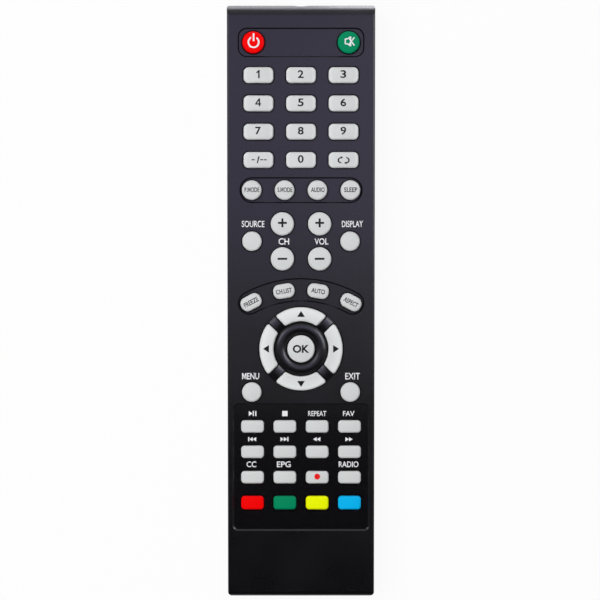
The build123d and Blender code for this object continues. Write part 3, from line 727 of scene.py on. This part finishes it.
def lay_table():
    """A white table top that keeps a soft shadow and is open from below."""
    mesh = bpy.data.meshes.new("table")
    corners = [(x, y, -table_drop) for x, y in box_loop(0, 0, 2 * table_reach, 2 * table_reach)]
    mesh.from_pydata(corners, [], [range(4)])
    table = bpy.data.objects.new("table", mesh)
    bpy.context.scene.collection.objects.link(table)
    white = bpy.data.materials.new("table_white")
    white.use_nodes = True
    tree = white.node_tree
    tree.nodes.remove(tree.nodes["Principled BSDF"])
    matt, glow, mix = shader_nodes(tree, "BsdfDiffuse", "Emission", "MixShader")
    matt.inputs["Color"].default_value = (table_colour, table_colour, table_colour, 1)
    glow.inputs["Strength"].default_value = 1.0
    share = tree.nodes.new("ShaderNodeMath")
    share.operation = "MULTIPLY"
    share.inputs[1].default_value = table_glow
    tree.links.new(seen_rays(tree), share.inputs[0])
    tree.links.new(share.outputs["Value"], mix.inputs["Fac"])
    tree.links.new(matt.outputs["BSDF"], mix.inputs[1])
    tree.links.new(glow.outputs["Emission"], mix.inputs[2])
    clear, side, choice = shader_nodes(tree, "BsdfTransparent", "NewGeometry", "MixShader")
    tree.links.new(side.outputs["Backfacing"], choice.inputs["Fac"])
    tree.links.new(mix.outputs["Shader"], choice.inputs[1])
    tree.links.new(clear.outputs["BSDF"], choice.inputs[2])
    tree.links.new(choice.outputs["Shader"], tree.nodes["Material Output"].inputs["Surface"])
    table.data.materials.append(white)


def light_room():
    """Pale walls that darken towards the ceiling and the lower end; the camera sees plain white."""
    world = bpy.data.worlds.new("room")
    bpy.context.scene.world = world
    world.use_nodes = True
    tree = world.node_tree
    place, parts, ramp = shader_nodes(tree, "TexCoord", "SeparateXYZ", "ValToRGB")
    tree.links.new(place.outputs["Generated"], parts.inputs["Vector"])
    tree.links.new(parts.outputs["Z"], ramp.inputs["Fac"])
    walls, ceiling = ramp.color_ramp.elements
    walls.position, walls.color = 0.1, (0.65, 0.65, 0.67, 1)
    ceiling.position, ceiling.color = 0.85, (0.03, 0.03, 0.033, 1)
    ramp.color_ramp.elements.new(0.32).color = (0.28, 0.28, 0.29, 1)
    dim, shaded, path, mix = shader_nodes(tree, "MapRange", "VectorMath", "LightPath", "Mix")
    for socket, value in (("From Min", -0.6), ("From Max", 0.4), ("To Min", 0.35), ("To Max", 1.0)):
        dim.inputs[socket].default_value = value
    tree.links.new(parts.outputs["Y"], dim.inputs["Value"])
    shaded.operation = "SCALE"
    tree.links.new(ramp.outputs["Color"], shaded.inputs[0])
    tree.links.new(dim.outputs["Result"], shaded.inputs["Scale"])
    mix.data_type = "RGBA"
    tree.links.new(path.outputs["Is Camera Ray"], mix.inputs["Factor"])
    tree.links.new(shaded.outputs["Vector"], mix.inputs["A"])
    mix.inputs["B"].default_value = (1, 1, 1, 1)
    tree.links.new(mix.outputs["Result"], tree.nodes["Background"].inputs["Color"])


def softbox(name, place, aim, size, strength, colour=(1, 1, 1), hidden_from=()):
    """A rectangular lamp at a place, aimed at a point, unseen by the camera."""
    lamp = bpy.data.lights.new(name, "AREA")
    lamp.shape = "RECTANGLE"
    lamp.size, lamp.size_y = size
    lamp.energy = strength * pi * size[0] * size[1]
    lamp.color = colour
    holder = bpy.data.objects.new(name, lamp)
    holder.location = place
    holder.rotation_euler = (Vector(aim) - Vector(place)).to_track_quat("-Z", "Y").to_euler()
    holder.visible_camera = False
    for rays in hidden_from:
        setattr(holder, f"visible_{rays}", False)
    bpy.context.scene.collection.objects.link(holder)


def set_lamps():
    """Soft light from above, a sheen that fades down the face, and low lamps that draw the edges."""
    face = (0, 0, 0.02)
    softbox("overhead", (-0.2, 0.07, 0.9), face, (0.7, 0.7), 5.6, hidden_from=["glossy"])
    # what the flat face mirrors: violet along its upper half, grey about the middle, darker below
    sheens = [
        ("sheen_front", (0.0, 0.078, 0.22), (0.5, 0.124), 1.34, (0.68, 0.62, 1.0)),
        ("sheen_far", (0.0, 0.27, 0.22), (0.5, 0.26), 0.3, (0.9, 0.9, 1.0)),
        ("sheen_right", (0.13, 0.08, 0.24), (0.24, 0.16), 0.2, (1.0, 1.0, 0.95)),
        ("sheen_middle", (0.0, -0.01, 0.22), (0.5, 0.052), 0.47, (0.95, 0.97, 1.0)),
    ]
    for name, place, size, strength, colour in sheens:
        softbox(name, place, (place[0], place[1], 0), size, strength, colour, ["diffuse"])
    # what the rounded edges mirror
    cool = (0.92, 0.92, 1.0)
    edges = [
        ("far", (0, 0.6, 0.5), face, (0.9, 0.5), 0.4),
        ("front", (0.1, 0.6, 0.06), face, (0.9, 0.11), 7.0),
        ("left", (-0.3, 0.2, 0.3), (0, 0.2, 0.02), (0.24, 0.22), 3.0),
        ("right", (0.3, 0.17, 0.3), (0, 0.17, 0.02), (0.3, 0.22), 5.0),
        ("low", (0, 0.18, 0.001), (0, 0.18, 1), (0.5, 0.12), 4.0),
        ("low_right", (0.07, 0.17, 0.002), (0.07, 0.17, 1), (0.12, 0.1), 4.0),
    ]
    for name, place, aim, size, strength in edges:
        softbox(name, place, aim, size, strength, cool, ["diffuse"])


def set_camera():
    """Straight above the face, at the photograph's framing."""
    lens = bpy.data.cameras.new("camera")
    lens.lens = camera_lens
    lens.sensor_width = camera_sensor
    distance = view_width * camera_lens / camera_sensor
    lens.clip_start, lens.clip_end = camera_near, camera_far
    camera = bpy.data.objects.new("camera", lens)
    camera.location = (*view_centre, face_height + distance)
    bpy.context.scene.collection.objects.link(camera)
    bpy.context.scene.camera = camera


lay_table()
light_room()
set_lamps()
set_camera()
bpy.context.scene.view_settings.view_transform = "Standard"
